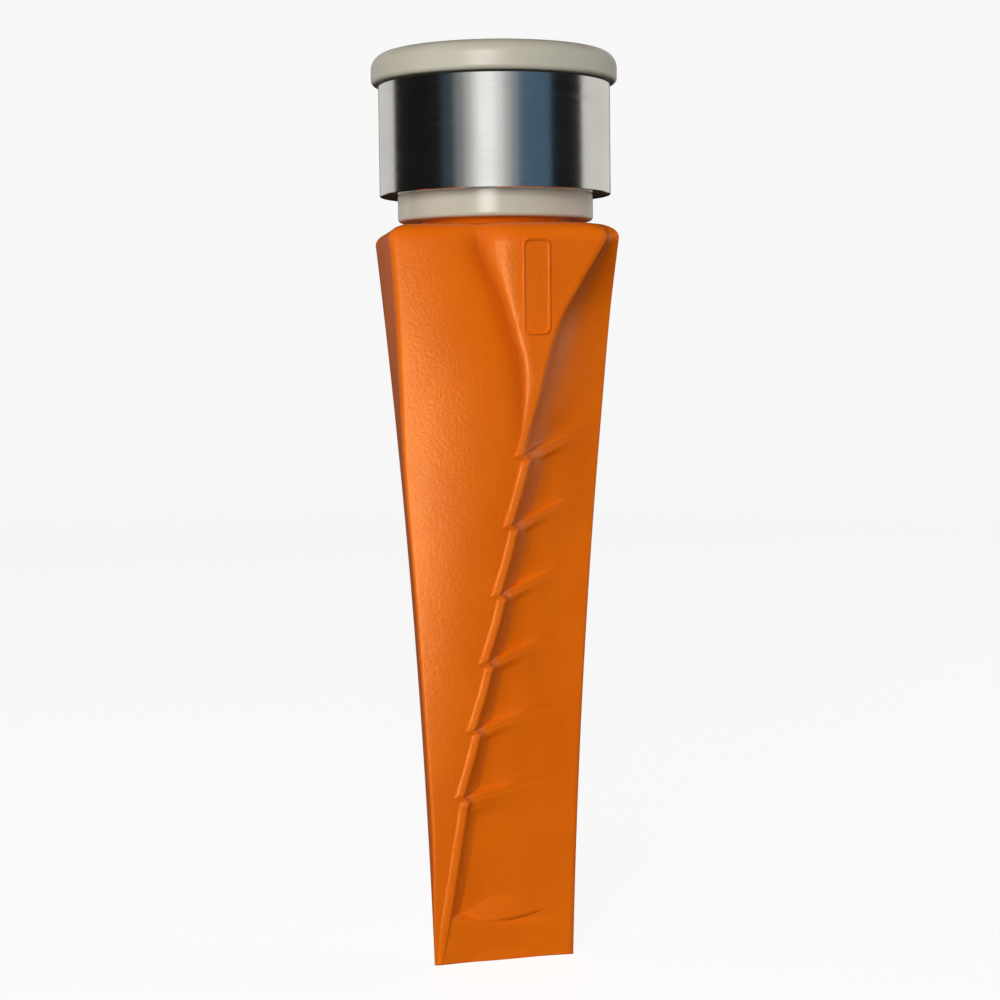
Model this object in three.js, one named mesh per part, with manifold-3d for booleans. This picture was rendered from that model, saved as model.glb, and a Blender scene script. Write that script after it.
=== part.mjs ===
// Twisted splitting wedge: a forged steel body with barbed ridges, a plastic
// striking cap pressed on its stub, and a steel ring that keeps the cap from
// spreading. Millimetres, +Z up, origin at the middle of the cutting edge.
import * as THREE from 'three';
import { mergeVertices } from 'three/addons/utils/BufferGeometryUtils.js';
import Module from 'manifold-3d';

const wasm = await Module();
wasm.setup();

// ---- driving dimensions, mm and degrees ----
const overallLength = 220;
const shoulderHeight = 178.5; // flat top of the forged body
const edgeHalfLength = 17.05; // half the cutting edge, seen square on
const headHalfWidth = 29.3;
const widthSag = 1.8; // how far the sides hollow between edge and head
const headHalfDepth = 28.3;
const depthSag = 1.8;
const edgeTwist = 14.3; // turn of the cutting edge against the head
const edgeHalfThickness = 0.35;
const shoulderRadius = 3.5;
const sideShoulder = 7; // the rounding's reach at the two sides

const barbCount = 6;
const barbPitch = 16.5;
const topBarbHeight = 123.8;
const barbJog = 1.7; // sideways step of the ridge at each barb
const jogBlend = 0.7; // half the height over which it steps
const pocketDepth = 1.7;
const topPocket = 0.5; // share of that depth above the topmost barb, in the scoop
const pocketSpread = 1.9; // how much wider the wall's hollow gets at a pocket's lower end
const pocketReach = 11; // how far a pocket runs out to the right at its lower end
const narrowReach = 5; // and at its upper end
const lipReach = 26; // the last pocket's, at the lip
const barbCrest = 1.5; // width of the flat on top of a barb
const barbStep = 1.1; // height over which the floor steps from one pocket to the next
const landWidth = 1.4; // of the narrow bead along the ridge
const tipLand = 0.55; // its width at the cutting edge
const landFlank = 0.35; // width of the bead's steep left flank
const tongueStart = 134; // where the bead has fully widened into the tongue
const lipHeight = 12.8; // where the last pocket ends, at the ridge
const lipStep = 1.8; // height of the step down onto the plain blade below it

const neckRadius = 18.3;
const stubRadius = 17.6;
const stubTop = 206;
const capBottom = 180.2;
const coreRadius = 23.4;
const flangeRadius = 29.4;
const flangeThickness = 7.2;
const flangeRounding = 3.7;
const ringBottom = 186.4;
const ringOuterRadius = 27.7;
const fitGap = 0.25; // between two pieces
const neckStep = { foot: 1.2, head: 2.2 }; // heights above the cap's bottom where the neck narrows
const stubChamfer = 2;
const bluntCorner = 0.8; // rounding of the cap's lower corners
const ringBevel = 0.5;
const roundSegments = 64;
const joinTolerance = 0.03; // slivers thinner than this are closed after the joins

const plateSize = { width: 6.4, height: 22, corner: 1.9, rise: 0.55, rim: 0.8 };
const plateCentre = { x: 9.3, z: 163.8 };

const rad = THREE.MathUtils.degToRad;
const lerp = THREE.MathUtils.lerp;
const clamp01 = (v) => THREE.MathUtils.clamp(v, 0, 1);
const step01 = (a, b, v) => THREE.MathUtils.smoothstep(v, a, b);

// ---- guide curves of the front of the body: [height, value] ----
const creaseLine = [
  [0, -15.3], [lipHeight, -13.0], [42, -8.9], [92, 0.6], [132, 8.0], [154, 13.7], [165, 20],
  [174, 26.2], [178.5, 26.8],
];
const tongueEdge = [
  [124, 5.0], [134, 6.2], [141, 7.0], [146.5, 6.7], [153, 5.1], [160, 3.3], [168, 1.4],
  [178.5, -1.2],
];
const tongueFoot = [
  [124, 4.6], [134, 5.4], [145, 4.9], [154, 2.3], [161, 0.3], [168, -2.5], [173, -4.2],
  [178.5, -4.6],
];
const tongueRise = [
  [0, 0.05], [40, 0.2], [124, 0.25], [135, 0.45], [145, 1.0], [155, 1.8], [165, 2.5], [178.5, 3.0],
];
const sideHeight = [[0, 0.35], [63, 1.2], [112, 2.2], [145, 5.5], [160, 9.5], [171, 17], [178.5, 21.5]];
const wallHeight = [
  [0, 0.02], [lipHeight, 0.7], [27, 1.2], [63, 1.9], [112, 3.0], [145, 5.0], [160, 6.3],
  [170, 5.0], [178.5, 2.5],
];
const wallWidth = [
  [0, 0.5], [27, 1.7], [63, 2.2], [112, 2.7], [145, 6.5], [160, 7.5], [170, 3.5], [178.5, 1.4],
];
const rowRise = [[0, 0], [lipHeight, -2.2], [42, 4.0], [80, 6.6], [124, 6.2], [162, 1.2], [178.5, 0]];
const faceStart = [[0, 14.3], [40, 7], [80, -3], [115, -8], [145, -7], [178.5, -2]];
const faceEnd = [[0, 14.3], [40, 13], [80, 15], [115, 17], [145, 18], [160, 19], [178.5, 12]];
const kneeWidth = [[0, 0.4], [130, 0.6], [150, 1.6], [160, 3], [170, 4], [178.5, 5]];
const tongueTurn = [[0, 14.3], [60, 12], [124, 9], [150, 9], [178.5, 10]];

// Value of a guide curve at a height, by a cubic through its points.
function along(line, height) {
  const last = line.length - 1;
  if (height <= line[0][0]) return line[0][1];
  if (height >= line[last][0]) return line[last][1];
  let i = 0;
  while (height > line[i + 1][0]) i += 1;
  const slope = (k) => {
    const a = line[Math.max(k - 1, 0)];
    const b = line[Math.min(k + 1, last)];
    return (b[1] - a[1]) / (b[0] - a[0]);
  };
  const [z0, v0] = line[i];
  const [z1, v1] = line[i + 1];
  const span = z1 - z0;
  const t = (height - z0) / span;
  const t2 = t * t;
  const t3 = t2 * t;
  return (2 * t3 - 3 * t2 + 1) * v0 + (t3 - 2 * t2 + t) * span * slope(i)
    + (3 * t2 - 2 * t3) * v1 + (t3 - t2) * span * slope(i + 1);
}

const halfWidth = (z) => {
  const t = z / shoulderHeight;
  return lerp(edgeHalfLength, headHalfWidth, t) - 4 * widthSag * t * (1 - t);
};
const edgeOffset = edgeHalfLength * Math.tan(rad(edgeTwist));
const leftDepth = (z) => {
  const t = z / shoulderHeight;
  return lerp(edgeOffset + edgeHalfThickness, headHalfDepth, t) - depthSag * Math.sin(Math.PI * t) ** 2;
};
// Distance of the die's parting line in front of the axis, on the left side.
const partingDepth = (z) => edgeOffset * (1 - step01(0, shoulderHeight, z));
// How far the side's draft brings the front corner in from the parting line.
const draftWidth = (z) => 0.15 + 1.05 * step01(0, 35, z) + 4 * step01(95, shoulderHeight, z);
const cornerRadius = (z) => 0.2 + 0.7 * step01(0, 40, z) + 2.4 * step01(95, shoulderHeight, z);

const barbHeights = Array.from({ length: barbCount }, (_, i) => topBarbHeight - i * barbPitch);
const lowestBarb = barbHeights[barbCount - 1];

// Place of a height between two barbs: 0 just under a barb, 1 at the next one's foot.
function pocketPhase(z) {
  if (z >= topBarbHeight) return 0;
  if (z <= lowestBarb) return (lowestBarb - z) / (lowestBarb - lipHeight);
  return ((topBarbHeight - z) % barbPitch) / barbPitch;
}

// Sideways shift of the ridge that makes the saw-tooth line of the barbs.
function jogAt(z) {
  if (z >= topBarbHeight + jogBlend) {
    return (-barbJog / 2) * (1 - step01(0, barbPitch, z - topBarbHeight - jogBlend));
  }
  const fromTop = (topBarbHeight - z) / barbPitch;
  const nearest = Math.min(Math.round(fromTop), barbCount - 1);
  const above = z - (topBarbHeight - nearest * barbPitch);
  if (Math.abs(above) < jogBlend) return barbJog * (0.5 - step01(-jogBlend, jogBlend, above));
  if (z < lowestBarb) return (barbJog / 2) * clamp01(1 - pocketPhase(z));
  return barbJog * (0.5 - pocketPhase(z) ** 1.6);
}

// Edge of the tongue, which runs down into the narrow land beside the ridge.
function edgeAt(z, ridge) {
  const land = ridge - lerp(tipLand, landWidth, step01(0, 10, z));
  return lerp(land, along(tongueEdge, z), step01(topBarbHeight, tongueStart, z));
}

function footAt(z, edge) {
  return lerp(edge - landFlank, along(tongueFoot, z), step01(topBarbHeight, tongueStart, z));
}

// How open the pocket beside the wall is: 0 on a barb's crest, most at its lower end.
function pocketOpening(z) {
  if (z >= topBarbHeight) {
    return topPocket * step01(0, barbStep, z - topBarbHeight) * (1 - step01(2, 10, z - topBarbHeight));
  }
  if (z < lipHeight - lipStep) return 0;
  const phase = pocketPhase(z);
  const crest = barbCrest / barbPitch;
  const opening = step01(crest, 2 * crest, phase) * (0.35 + 0.65 * phase);
  if (z < lowestBarb) return opening * step01(lipHeight - lipStep, lipHeight, z);
  return opening * (1 - step01(1 - barbStep / barbPitch, 1, phase));
}

// How much of a pocket's depth is left at a distance to the right of the wall.
function pocketFade(z, run) {
  const phase = z >= topBarbHeight ? topPocket : pocketPhase(z);
  const wide = z < lowestBarb ? lipReach : pocketReach;
  return 1 - step01(0, lerp(narrowReach, wide, phase), run);
}

// ---- one half of a row: from the left parting line across the front ----
const faceColumns = 8;
const flankColumns = 4;
const tongueColumns = 4;
const wallColumns = 6;
const floorColumns = 9;
const cornerColumns = 5;
const sideColumns = 2;

function frontRow(z) {
  const points = [];
  const add = (x, depth, height = z) => points.push(new THREE.Vector3(x, -depth, height));
  const w = halfWidth(z);
  const d = leftDepth(z);
  const radius = cornerRadius(z);
  const startTurn = rad(along(faceStart, z));
  const endTurn = rad(along(faceEnd, z));

  // left side, from the parting line to the corner
  const draft = Math.atan2(draftWidth(z), d - partingDepth(z));
  const cornerX = -w + draftWidth(z) + radius * Math.cos(draft) * (1 - Math.sin(draft));
  const cornerDepth = d - radius;
  const sideEndX = cornerX - radius * Math.cos(draft);
  const sideEndDepth = cornerDepth + radius * Math.sin(draft);
  for (let i = 0; i < sideColumns; i += 1) {
    const t = i / sideColumns;
    add(lerp(-w, sideEndX, t), lerp(partingDepth(z), sideEndDepth, t));
  }
  // rounded front corner
  const turnFrom = -Math.PI / 2 + draft;
  for (let i = 0; i <= cornerColumns; i += 1) {
    const turn = lerp(turnFrom, startTurn, i / cornerColumns);
    add(cornerX + radius * Math.sin(turn), cornerDepth + radius * Math.cos(turn));
  }
  // crowned left face down to the foot of the tongue; the barbs don't disturb it
  const faceX = cornerX + radius * Math.sin(startTurn);
  const faceTop = cornerDepth + radius * Math.cos(startTurn);
  const evenRidge = along(creaseLine, z);
  const evenEdge = edgeAt(z, evenRidge);
  const faceRun = footAt(z, evenEdge) - faceX;
  const slopeStart = Math.tan(startTurn);
  const slopeEnd = Math.tan(endTurn);
  const faceDepth = (x) => {
    const t = (x - faceX) / faceRun;
    return faceTop - faceRun * (slopeStart * t + (slopeEnd - slopeStart) * t * t / 2);
  };
  const ridge = evenRidge + jogAt(z);
  const edge = edgeAt(z, ridge);
  const foot = footAt(z, edge);
  for (let i = 1; i <= faceColumns; i += 1) {
    const x = lerp(faceX, foot, i / faceColumns);
    add(x, faceDepth(x));
  }
  // flank up onto the tongue or land, and its top
  const rise = along(tongueRise, z);
  for (let i = 1; i <= flankColumns; i += 1) {
    const t = i / flankColumns;
    add(lerp(foot, edge, t), faceDepth(foot) + rise * (1 - (1 - t) ** 2));
  }
  const fall = Math.tan(rad(along(tongueTurn, z)));
  const soft = along(kneeWidth, z);
  const topDepth = (x, start) => {
    const over = x - start;
    const bend = over < soft ? over * over / (2 * soft) : over - soft / 2;
    return faceDepth(footAt(z, start)) + rise - fall * bend;
  };
  for (let i = 1; i <= tongueColumns; i += 1) {
    const x = lerp(edge, ridge, i / tongueColumns);
    add(x, topDepth(x, edge));
  }
  // steep wall and hollow floor; the row climbs to the right as the barbs do
  const lift = along(rowRise, z);
  const rightHeight = z + lift;
  const rightX = halfWidth(rightHeight) - 0.4 * step01(120, shoulderHeight, z);
  const rightDepth = along(sideHeight, rightHeight) - partingDepth(rightHeight);
  const evenSpan = rightX - evenRidge;
  const opening = pocketOpening(z);
  const wallRun = Math.min(along(wallWidth, z) * lerp(1, pocketSpread, opening), 0.45 * evenSpan);
  const evenTop = topDepth(evenRidge, evenEdge);
  const wallDrop = Math.min(along(wallHeight, z), 0.8 * (evenTop - rightDepth));
  const floorDepth = (x) => {
    const t = (x - evenRidge) / evenSpan;
    return lerp(evenTop - wallDrop, rightDepth, 1.35 * t - 0.35 * t * t);
  };
  const pocket = pocketDepth * opening;
  const place = (x, depth) => {
    const run = x - ridge;
    const f = clamp01(run / (rightX - ridge));
    const sink = pocket * pocketFade(z, Math.max(run - wallRun, 0)) * clamp01(run / wallRun);
    const bow = lift < 0 ? 1.6 * lift * f * (1 - f) : 0;
    add(x, depth - sink, z + lift * (1 - (1 - f) ** 1.7) + bow);
  };
  const wallTop = topDepth(ridge, edge) - floorDepth(ridge);
  for (let i = 1; i <= wallColumns; i += 1) {
    const t = i / wallColumns;
    const drop = step01(-0.05, 0.35, t) * (1 - (1 - t) ** 2.2);
    const x = ridge + wallRun * t;
    place(x, floorDepth(x) + wallTop * (1 - drop));
  }
  for (let i = 1; i <= floorColumns; i += 1) {
    const x = lerp(ridge + wallRun, rightX, (i / floorColumns) ** 1.3);
    place(x, floorDepth(x));
  }
  // right side, up to the back's parting line
  for (let i = 1; i < sideColumns; i += 1) {
    const t = i / sideColumns;
    add(lerp(rightX, w, t), lerp(rightDepth, -partingDepth(z), t), lerp(rightHeight, z, t));
  }
  return points;
}

// Heights of the rows: close together at each barb and at the lip.
function rowHeights() {
  const heights = [0, 0.7, 3.5, 6.5, 9, lipHeight - lipStep, lipHeight - lipStep / 2, lipHeight];
  heights.push(14.5, 18, 23, 29, 35);
  for (const barb of [...barbHeights].reverse()) {
    heights.push(barb - 2 * barbCrest, barb - barbCrest, barb - jogBlend);
    heights.push(barb, barb + barbStep / 2, barb + barbStep);
    if (barb !== topBarbHeight) heights.push(barb + 2.6, barb + 5, barb + 8.2, barb + 11.8);
  }
  const top = shoulderHeight - shoulderRadius;
  heights.push(128.5, 133, 138, 143, 148, 152.5, 157, 161, 164.5, 168, 171.5, top);
  return heights;
}

function forgedBlade() {
  const rows = rowHeights().map(frontRow);
  // the shoulder: the top row again, drawn in round a quarter ellipse, wider at the two sides
  const rim = rows[rows.length - 1];
  for (const turn of [25, 50, 70, 90].map(rad)) {
    const lift = shoulderRadius * Math.sin(turn);
    rows.push(rim.map((p) => {
      const reach = lerp(shoulderRadius, sideShoulder, step01(0.72, 1, Math.abs(p.x) / headHalfWidth));
      const inset = 1 - reach * (1 - Math.cos(turn)) / headHalfDepth;
      return new THREE.Vector3(p.x * inset, p.y * inset, p.z + lift);
    }));
  }
  const rings = rows.map((half) => [...half, ...half.map((p) => new THREE.Vector3(-p.x, -p.y, p.z))]);
  return skin(rings);
}

// Closed surface over a stack of rings that run anticlockwise seen from above.
function skin(rings) {
  const count = rings[0].length;
  const positions = rings.flat().flatMap((p) => [p.x, p.y, p.z]);
  const faces = [];
  for (let r = 0; r + 1 < rings.length; r += 1) {
    for (let i = 0; i < count; i += 1) {
      const j = (i + 1) % count;
      const a = r * count + i;
      const b = r * count + j;
      const c = a + count;
      const e = b + count;
      const rising = rings[r][i].distanceTo(rings[r + 1][j]);
      const falling = rings[r][j].distanceTo(rings[r + 1][i]);
      if (rising <= falling) faces.push(a, b, e, a, e, c);
      else faces.push(a, b, c, b, e, c);
    }
  }
  // cutting edge: a strip between the front's and the back's ends of the columns
  const half = count / 2;
  let front = 0;
  let back = count - 1;
  while (front < half - 1 || back > half) {
    const frontNext = front < half - 1 ? rings[0][front + 1].x : Infinity;
    const backNext = back > half ? rings[0][back - 1].x : Infinity;
    if (frontNext <= backNext) {
      faces.push(front + 1, front, back);
      front += 1;
    } else {
      faces.push(front, back, back - 1);
      back -= 1;
    }
  }
  // top: a fan round the axis
  const top = rings[rings.length - 1];
  const firstTop = (rings.length - 1) * count;
  const middle = positions.length / 3;
  positions.push(0, 0, top[0].z);
  for (let i = 0; i < count; i += 1) faces.push(firstTop + i, firstTop + (i + 1) % count, middle);
  const geometry = new THREE.BufferGeometry();
  geometry.setAttribute('position', new THREE.Float32BufferAttribute(positions, 3));
  geometry.setIndex(faces);
  return geometry;
}

// ---- round pieces ----
function quarter(cx, cz, radius, from, to, steps) {
  return Array.from({ length: steps + 1 }, (_, i) => {
    const turn = rad(lerp(from, to, i / steps));
    return new THREE.Vector2(cx + radius * Math.cos(turn), cz + radius * Math.sin(turn));
  });
}

function revolve(profile) {
  const geometry = new THREE.LatheGeometry(profile, roundSegments);
  geometry.rotateX(Math.PI / 2);
  return geometry;
}

const at = (r, z) => new THREE.Vector2(r, z);

function stub() {
  return revolve([
    at(0, shoulderHeight - 6),
    at(neckRadius, shoulderHeight - 6),
    at(neckRadius, capBottom + neckStep.foot),
    at(stubRadius, capBottom + neckStep.head),
    at(stubRadius, stubTop - stubChamfer),
    at(stubRadius - stubChamfer, stubTop),
    at(0, stubTop),
  ]);
}

function strikingCap() {
  const chamfer = stubChamfer - 0.3;
  const flangeBottom = overallLength - flangeThickness;
  return revolve([
    at(0, stubTop + fitGap),
    at(stubRadius - chamfer, stubTop + fitGap),
    at(stubRadius + fitGap, stubTop - chamfer),
    at(stubRadius + fitGap, capBottom + neckStep.head + 0.2),
    at(neckRadius + fitGap, capBottom + neckStep.foot + 0.2),
    at(neckRadius + fitGap, capBottom),
    ...quarter(coreRadius - bluntCorner, capBottom + bluntCorner, bluntCorner, -90, 0, 2),
    at(coreRadius, flangeBottom),
    ...quarter(flangeRadius - bluntCorner, flangeBottom + bluntCorner, bluntCorner, -90, 0, 2),
    ...quarter(flangeRadius - flangeRounding, overallLength - flangeRounding, flangeRounding, 0, 90, 6),
    at(0, overallLength),
  ]);
}

function impactRing() {
  const bottom = ringBottom;
  const top = overallLength - flangeThickness - fitGap;
  const inner = coreRadius + fitGap;
  const outer = ringOuterRadius;
  return revolve([
    at(inner, bottom + ringBevel),
    at(inner + ringBevel, bottom),
    at(outer - ringBevel, bottom),
    at(outer, bottom + ringBevel),
    at(outer, top - ringBevel),
    at(outer - ringBevel, top),
    at(inner + ringBevel, top),
    at(inner, top - ringBevel),
    at(inner, bottom + ringBevel),
  ]);
}

// ---- blank name plate, a raised rim round a low field ----
function roundedOutline(width, height, corner) {
  const outline = new THREE.Shape();
  const x = width / 2 - corner;
  const y = height / 2 - corner;
  outline.absarc(x, -y, corner, -Math.PI / 2, 0);
  outline.absarc(x, y, corner, 0, Math.PI / 2);
  outline.absarc(-x, y, corner, Math.PI / 2, Math.PI);
  outline.absarc(-x, -y, corner, Math.PI, Math.PI * 1.5);
  outline.closePath();
  return outline;
}

function surfacePoint(x, z) {
  const row = frontRow(z);
  for (let i = 0; i + 1 < row.length; i += 1) {
    if (row[i].x <= x && row[i + 1].x > x) {
      return row[i].clone().lerp(row[i + 1], (x - row[i].x) / (row[i + 1].x - row[i].x));
    }
  }
  return row[0];
}

function platePad(width, height, corner, rise) {
  const root = 3;
  const pad = new THREE.ExtrudeGeometry(roundedOutline(width, height, corner),
    { depth: root + rise, bevelEnabled: false, curveSegments: 4 });
  pad.translate(0, 0, -root);
  const { x, z } = plateCentre;
  const centre = surfacePoint(x, z);
  const across = surfacePoint(x + 2, z).sub(surfacePoint(x - 2, z)).normalize();
  const up = surfacePoint(x, z + 7).sub(surfacePoint(x, z - 7)).normalize();
  const out = new THREE.Vector3().crossVectors(across, up).normalize();
  const side = new THREE.Vector3().crossVectors(up, out);
  pad.applyMatrix4(new THREE.Matrix4().makeBasis(side, up, out).setPosition(centre));
  return pad;
}

// ---- solids ----
function toManifold(geometry) {
  const bare = geometry.clone();
  bare.deleteAttribute('normal');
  bare.deleteAttribute('uv');
  const merged = mergeVertices(bare, 1e-4);
  return new wasm.Manifold(new wasm.Mesh({
    numProp: 3,
    vertProperties: new Float32Array(merged.attributes.position.array),
    triVerts: new Uint32Array(merged.index.array),
  }));
}

function toGeometry(solid) {
  const mesh = solid.getMesh();
  const geometry = new THREE.BufferGeometry();
  geometry.setAttribute('position', new THREE.BufferAttribute(mesh.vertProperties, 3));
  geometry.setIndex(new THREE.BufferAttribute(mesh.triVerts, 1));
  geometry.computeVertexNormals();
  return geometry;
}

function wedgeBody() {
  const { width, height, corner, rise, rim } = plateSize;
  const rimPad = toManifold(platePad(width, height, corner, rise));
  const field = toManifold(platePad(width - 2 * rim, height - 2 * rim, corner - rim, rise + 2));
  const low = toManifold(platePad(width - rim, height - rim, corner - rim / 2, rise * 0.35));
  let body = toManifold(forgedBlade()).add(toManifold(stub()));
  for (const turn of [0, 180]) {
    const plate = rimPad.subtract(field).add(low).rotate([0, 0, turn]);
    body = body.add(plate);
  }
  return toGeometry(body.setTolerance(joinTolerance));
}

function piece(name, geometry, color, roughness, metalness) {
  const mesh = new THREE.Mesh(geometry, new THREE.MeshStandardMaterial({ color, roughness, metalness }));
  mesh.name = name;
  return mesh;
}

const wedge = new THREE.Group();
wedge.add(piece('wedge_body', wedgeBody(), 0xe4690a, 0.45, 0.0));
wedge.add(piece('striking_cap', strikingCap(), 0xd8d3c4, 0.5, 0.0));
wedge.add(piece('impact_ring', impactRing(), 0xb9bcbd, 0.25, 1.0));

export default wedge;
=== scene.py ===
import math
import bmesh
import bpy
from mathutils import Matrix, Vector, noise


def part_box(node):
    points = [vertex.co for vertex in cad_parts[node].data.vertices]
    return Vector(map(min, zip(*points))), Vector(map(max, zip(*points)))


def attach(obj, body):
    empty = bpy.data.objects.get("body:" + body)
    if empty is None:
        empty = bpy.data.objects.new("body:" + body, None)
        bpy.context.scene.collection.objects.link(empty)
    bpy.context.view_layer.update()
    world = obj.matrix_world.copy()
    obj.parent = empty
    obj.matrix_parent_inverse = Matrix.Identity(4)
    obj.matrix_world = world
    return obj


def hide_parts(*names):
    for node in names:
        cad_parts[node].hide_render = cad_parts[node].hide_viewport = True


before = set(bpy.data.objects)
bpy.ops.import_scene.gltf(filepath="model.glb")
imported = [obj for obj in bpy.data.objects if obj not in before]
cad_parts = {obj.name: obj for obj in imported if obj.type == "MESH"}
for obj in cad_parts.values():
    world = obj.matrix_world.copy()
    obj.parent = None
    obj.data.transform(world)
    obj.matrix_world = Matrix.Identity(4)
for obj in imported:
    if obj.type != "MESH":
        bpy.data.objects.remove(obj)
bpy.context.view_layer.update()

scene = bpy.context.scene
scene.view_settings.view_transform = "Standard"
mm = 0.001
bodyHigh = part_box("wedge_body")[1]
capLow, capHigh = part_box("striking_cap")
ringLow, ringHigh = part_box("impact_ring")

cameraSetup = {
    "distance": 0.5157,
    "height": 0.1475,
    "offset": 0.00025,
    "pitch": 3.8,  # degrees down
    "roll": -0.7,
    "lens": 76.72,
}


def addCamera(setup):
    data = bpy.data.cameras.new("studioCamera")
    data.lens = setup["lens"]
    data.sensor_width = 36
    data.clip_start = 0.02
    data.clip_end = 20
    camera = bpy.data.objects.new("studioCamera", data)
    scene.collection.objects.link(camera)
    place = Matrix.Translation((setup["offset"], -setup["distance"], setup["height"]))
    tilt = Matrix.Rotation(math.radians(90 - setup["pitch"]), 4, "X")
    roll = Matrix.Rotation(math.radians(setup["roll"]), 4, "Z")
    camera.matrix_world = place @ tilt @ roll
    scene.camera = camera


addCamera(cameraSetup)


def newMaterial(name):
    material = bpy.data.materials.new(name)
    material.use_nodes = True
    tree = material.node_tree
    shader = tree.nodes["Principled BSDF"]
    coords = tree.nodes.new("ShaderNodeTexCoord")
    return material, tree, shader, coords.outputs["Object"]


def noiseAt(tree, coords, scale, detail=3.0, rough=0.5, stretch=(1, 1, 1)):
    # a noise that runs from about 0.3 to 0.7
    mapping = tree.nodes.new("ShaderNodeMapping")
    mapping.inputs["Scale"].default_value = stretch
    tree.links.new(coords, mapping.inputs["Vector"])
    grain = tree.nodes.new("ShaderNodeTexNoise")
    grain.inputs["Scale"].default_value = scale
    grain.inputs["Detail"].default_value = detail
    grain.inputs["Roughness"].default_value = rough
    tree.links.new(mapping.outputs["Vector"], grain.inputs["Vector"])
    return grain.outputs["Fac"]


def remap(tree, value, fromLow, fromHigh, toLow, toHigh):
    node = tree.nodes.new("ShaderNodeMapRange")
    node.inputs["From Min"].default_value = fromLow
    node.inputs["From Max"].default_value = fromHigh
    node.inputs["To Min"].default_value = toLow
    node.inputs["To Max"].default_value = toHigh
    tree.links.new(value, node.inputs["Value"])
    return node.outputs["Result"]


def mixColour(tree, value, colourA, colourB):
    node = tree.nodes.new("ShaderNodeMix")
    node.data_type = "RGBA"
    node.inputs["A"].default_value = (*colourA, 1)
    node.inputs["B"].default_value = (*colourB, 1)
    tree.links.new(value, node.inputs["Factor"])
    return node.outputs["Result"]


def bumpFrom(tree, height, strength, distance, normal=None):
    node = tree.nodes.new("ShaderNodeBump")
    node.inputs["Strength"].default_value = strength
    node.inputs["Distance"].default_value = distance
    tree.links.new(height, node.inputs["Height"])
    if normal is not None:
        tree.links.new(normal, node.inputs["Normal"])
    return node.outputs["Normal"]


coatFinish = {
    "colour": (0.81, 0.157, 0.0035),
    "deepColour": (0.75, 0.138, 0.003),
    "cloudScale": 45,
    "peelScale": 1300,
    "peelDepth": 0.0002,
    "forgeScale": 160,
    "forgeDepth": 0.00025,
    "roughness": (0.31, 0.40),
    "specular": 0.4,
    # the painted shade colour for the groove at the tongue's foot
    "paintedShadeColour": (0.50, 0.075, 0.002),
}


def powderCoat(finish):
    material, tree, shader, coords = newMaterial("orangePowderCoat")
    shader.inputs["Specular IOR Level"].default_value = finish["specular"]
    cloud = noiseAt(tree, coords, finish["cloudScale"], 2)
    colour = mixColour(tree, remap(tree, cloud, 0.35, 0.65, 0, 1), finish["colour"], finish["deepColour"])
    paintedShade = tree.nodes.new("ShaderNodeAttribute")  # painted shade: the coat colour is darkened in the groove beside the tongue, where shade falls
    paintedShade.attribute_name = "paintedShade"
    # mixes the painted shade colour in by the painted shade mask
    darker = tree.nodes.new("ShaderNodeMix")
    darker.data_type = "RGBA"
    darker.inputs["B"].default_value = (*finish["paintedShadeColour"], 1)
    tree.links.new(colour, darker.inputs["A"])
    tree.links.new(paintedShade.outputs["Fac"], darker.inputs["Factor"])
    tree.links.new(darker.outputs["Result"], shader.inputs["Base Color"])
    peel = noiseAt(tree, coords, finish["peelScale"], 4, 0.6)
    forge = noiseAt(tree, coords, finish["forgeScale"], 3, 0.5)
    low, high = finish["roughness"]
    tree.links.new(remap(tree, peel, 0.3, 0.7, low, high), shader.inputs["Roughness"])
    normal = bumpFrom(tree, forge, 0.25, finish["forgeDepth"])
    normal = bumpFrom(tree, peel, 0.6, finish["peelDepth"], normal)
    tree.links.new(normal, shader.inputs["Normal"])
    return material


capFinish = {
    "colour": (0.54, 0.52, 0.435),
    "shadeColour": (0.50, 0.47, 0.39),
    "cloudScale": 60,
    "grainScale": 700,
    "grainDepth": 0.00005,
    "roughness": (0.32, 0.40),
    "collarRoughness": 0.17,
    "collarFade": (0.19, 0.212),  # the heights it fades between, metres
    "subsurface": 0.12,
    "subsurfaceDepth": 0.002,
}


def capPlastic(finish):
    material, tree, shader, coords = newMaterial("naturalPlastic")
    cloud = noiseAt(tree, coords, finish["cloudScale"], 3)
    colour = mixColour(tree, remap(tree, cloud, 0.3, 0.7, 0, 1), finish["colour"], finish["shadeColour"])
    tree.links.new(colour, shader.inputs["Base Color"])
    grain = noiseAt(tree, coords, finish["grainScale"], 4, 0.6)
    low, high = finish["roughness"]
    axes = tree.nodes.new("ShaderNodeSeparateXYZ")  # the collar is smoother than the flange
    tree.links.new(coords, axes.inputs["Vector"])
    smoothing = remap(tree, axes.outputs["Z"], *finish["collarFade"], finish["collarRoughness"] - low, 0)
    roughness = tree.nodes.new("ShaderNodeMath")
    tree.links.new(smoothing, roughness.inputs[0])
    tree.links.new(remap(tree, grain, 0.3, 0.7, low, high), roughness.inputs[1])
    tree.links.new(roughness.outputs["Value"], shader.inputs["Roughness"])
    tree.links.new(bumpFrom(tree, grain, 0.4, finish["grainDepth"]), shader.inputs["Normal"])
    shader.inputs["Subsurface Weight"].default_value = finish["subsurface"]
    shader.inputs["Subsurface Radius"].default_value = (1.0, 0.8, 0.55)
    shader.inputs["Subsurface Scale"].default_value = finish["subsurfaceDepth"]
    return material


ringFinish = {
    "colour": (0.81, 0.81, 0.79),
    "dullColour": (0.76, 0.76, 0.745),
    "cloudScale": 90,
    "roughness": (0.13, 0.18),
    "grooveScale": 2600,
    "grooveStretch": (0.01, 0.01, 1),  # drawn out round the ring
    "grooveDepth": 0.00001,
    "anisotropy": 0.6,
}


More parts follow.
